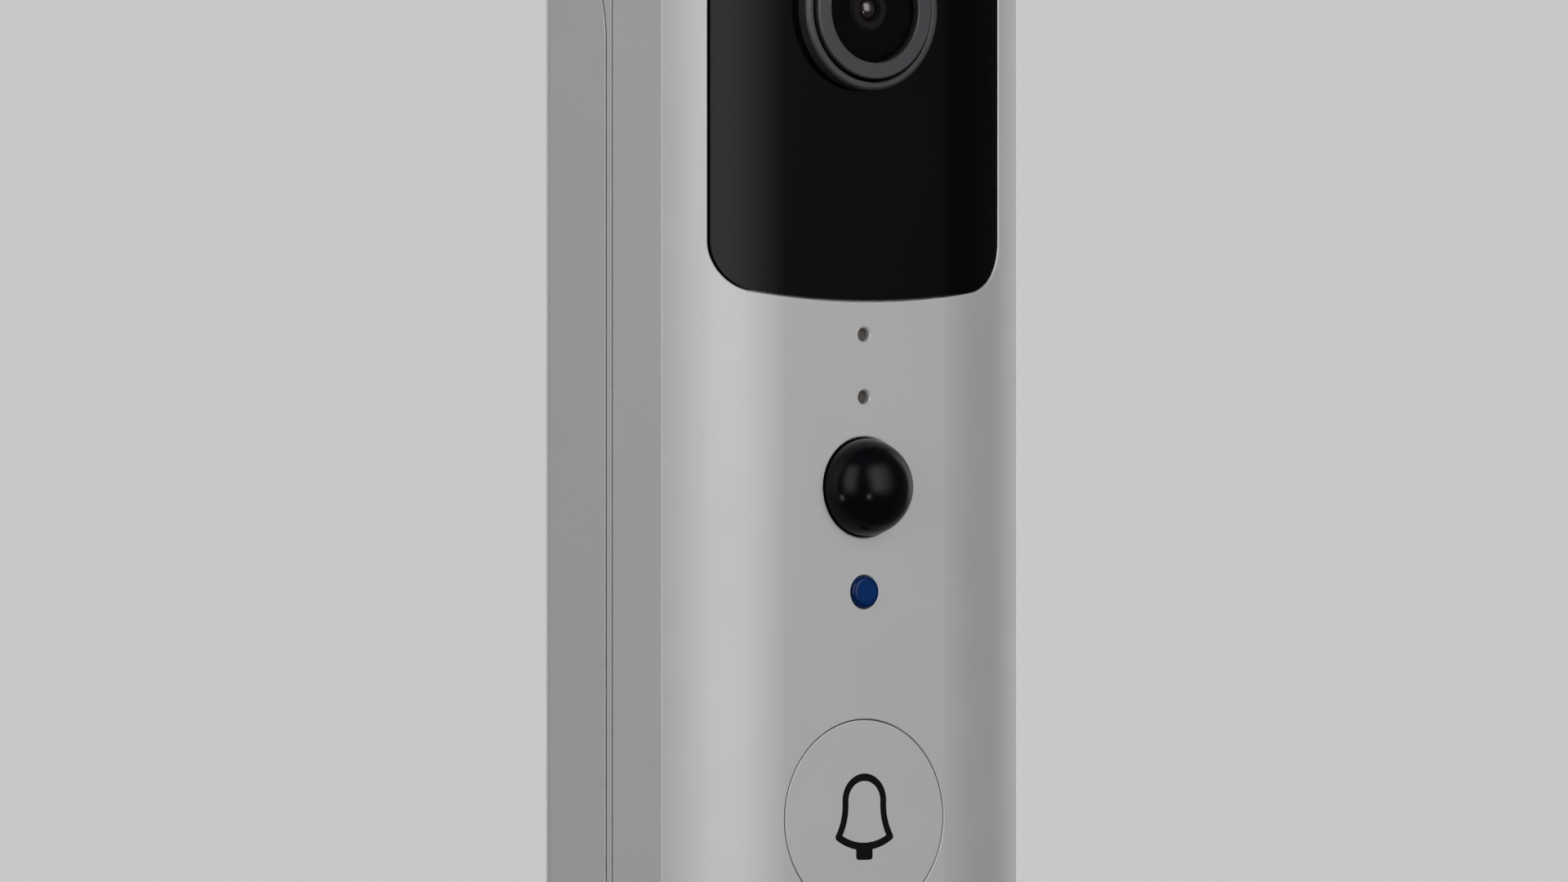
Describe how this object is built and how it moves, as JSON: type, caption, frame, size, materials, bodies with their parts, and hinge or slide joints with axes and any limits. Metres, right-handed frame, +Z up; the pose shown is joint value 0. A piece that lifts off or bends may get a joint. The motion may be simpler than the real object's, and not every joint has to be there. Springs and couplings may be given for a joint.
{
  "type": "video doorbell",
  "caption": "Tall silver video doorbell with a gloss black camera window, motion sensor dome, status light and bell button, hung on a wall cover.",
  "frame": {"origin": "middle of the wall face, halfway up the doorbell, where the wall cover's back meets the wall", "axes": "+X to the right of a visitor facing the doorbell, +Y into the wall, +Z up"},
  "size_m": [0.046, 0.0321, 0.128],
  "materials": {
    "silver_front": "satin",
    "silver_rear": "satin",
    "silver_cover": "satin",
    "silver_button": "satin",
    "seal_rubber": "matte",
    "gasket_rubber": "matte",
    "clear_silicone": "satin",
    "foam": "matte",
    "steel_screw": "satin",
    "black_screw": "satin",
    "black_window": "gloss",
    "adhesive": "matte",
    "ring_grey": "satin",
    "lens_glass": "polished",
    "lens_coated": "polished",
    "lens_black": "matte",
    "filter_glass": "polished",
    "copper_coil": "satin",
    "sensor_die": "gloss",
    "circuit_board": "satin",
    "flex_ribbon": "satin",
    "led_package": "gloss",
    "infrared_emitter": "gloss",
    "icon_black": "satin",
    "switch_body": "matte",
    "switch_red": "satin",
    "blue_lens": "gloss",
    "dome_black": "gloss",
    "metal_can": "satin",
    "port_mesh": "matte",
    "chip_black": "matte",
    "cell_can": "satin",
    "cell_cap": "satin",
    "contact_metal": "polished",
    "speaker_black": "satin",
    "speaker_film": "satin",
    "antenna_film": "satin",
    "terminal_green": "satin",
    "reset_red": "satin"
  },
  "bodies": {
    "wall_cover": {"rear_cover": "silver_cover", "battery_pad": "foam"},
    "doorbell_body": {"front_housing": "silver_front", "housing_seal": "seal_rubber", "rear_housing": "silver_rear", "housing_screws": "steel_screw", "camera_window": "black_window", "window_adhesive": "adhesive", "lens_bezel": "ring_grey", "lens_trim_ring": "ring_grey", "lens_cover_glass": "lens_glass", "lens_barrel": "lens_black", "lens_front_element": "lens_coated", "lens_rear_element": "lens_coated", "lens_holder": "lens_black", "ir_cut_coil": "copper_coil", "image_sensor": "sensor_die", "camera_board": "circuit_board", "camera_screws": "black_screw", "camera_ribbon": "flex_ribbon", "infrared_board": "circuit_board", "infrared_leds": "infrared_emitter", "button_return_ring": "clear_silicone", "button_switch": "switch_body", "status_light_lens": "blue_lens", "status_led": "led_package", "motion_lens": "dome_black", "motion_sensor": "metal_can", "motion_gasket": "gasket_rubber", "port_screens": "port_mesh", "sensor_boots": "gasket_rubber", "microphone": "metal_can", "light_sensor": "sensor_die", "main_board": "circuit_board", "board_screws": "black_screw", "processor_chip": "chip_black", "radio_module": "metal_can", "board_components": "chip_black", "battery_cell_left": "cell_can", "battery_cell_right": "cell_can", "battery_caps": "cell_cap", "contact_plates": "contact_metal", "contact_springs": "contact_metal", "speaker_frame": "speaker_black", "speaker_diaphragm": "speaker_film", "speaker_gasket": "foam", "wifi_antenna": "antenna_film", "interface_board": "circuit_board", "usb_socket": "metal_can", "reset_switch": "switch_body", "terminal_block": "terminal_green", "terminal_screws": "steel_screw", "terminal_washers": "contact_metal"},
    "bell_button": {"bell_button": "silver_button", "bell_icon": "icon_black"},
    "switch_plunger": {"switch_plunger": "switch_red"},
    "reset_button": {"reset_button": "reset_red"},
    "ir_cut_filter": {"ir_cut_filter": "filter_glass"},
    "security_screw": {"security_screw": "steel_screw"}
  },
  "joints": [
    {"name": "lift_off_wall_cover", "type": "slide", "parent": "wall_cover", "child": "doorbell_body", "axis": [0, 0, 1], "range_m": [0, 0.004]},
    {"name": "bell_button_press", "type": "slide", "parent": "doorbell_body", "child": "bell_button", "axis": [0, 1, 0], "range_m": [0, 0.0005], "stiffness_N_per_m": 3000, "springref_m": -0.0002, "deforming": ["button_return_ring"]},
    {"name": "switch_plunger_press", "type": "slide", "parent": "doorbell_body", "child": "switch_plunger", "axis": [0, 1, 0], "range_m": [0, 0.0005]},
    {"name": "reset_button_press", "type": "slide", "parent": "doorbell_body", "child": "reset_button", "axis": [0, -1, 0], "range_m": [0, 0.0003], "stiffness_N_per_m": 2500, "springref_m": -0.0001},
    {"name": "ir_cut_filter_slide", "type": "slide", "parent": "doorbell_body", "child": "ir_cut_filter", "axis": [1, 0, 0], "range_m": [0, 0.0046]},
    {"name": "security_screw_out", "type": "slide", "parent": "wall_cover", "child": "security_screw", "axis": [0, 0, -1], "range_m": [0, 0.008]}
  ],
  "couplings": [
    {"joint": "switch_plunger_press", "follows": "bell_button_press", "ratio": 1}
  ]
}
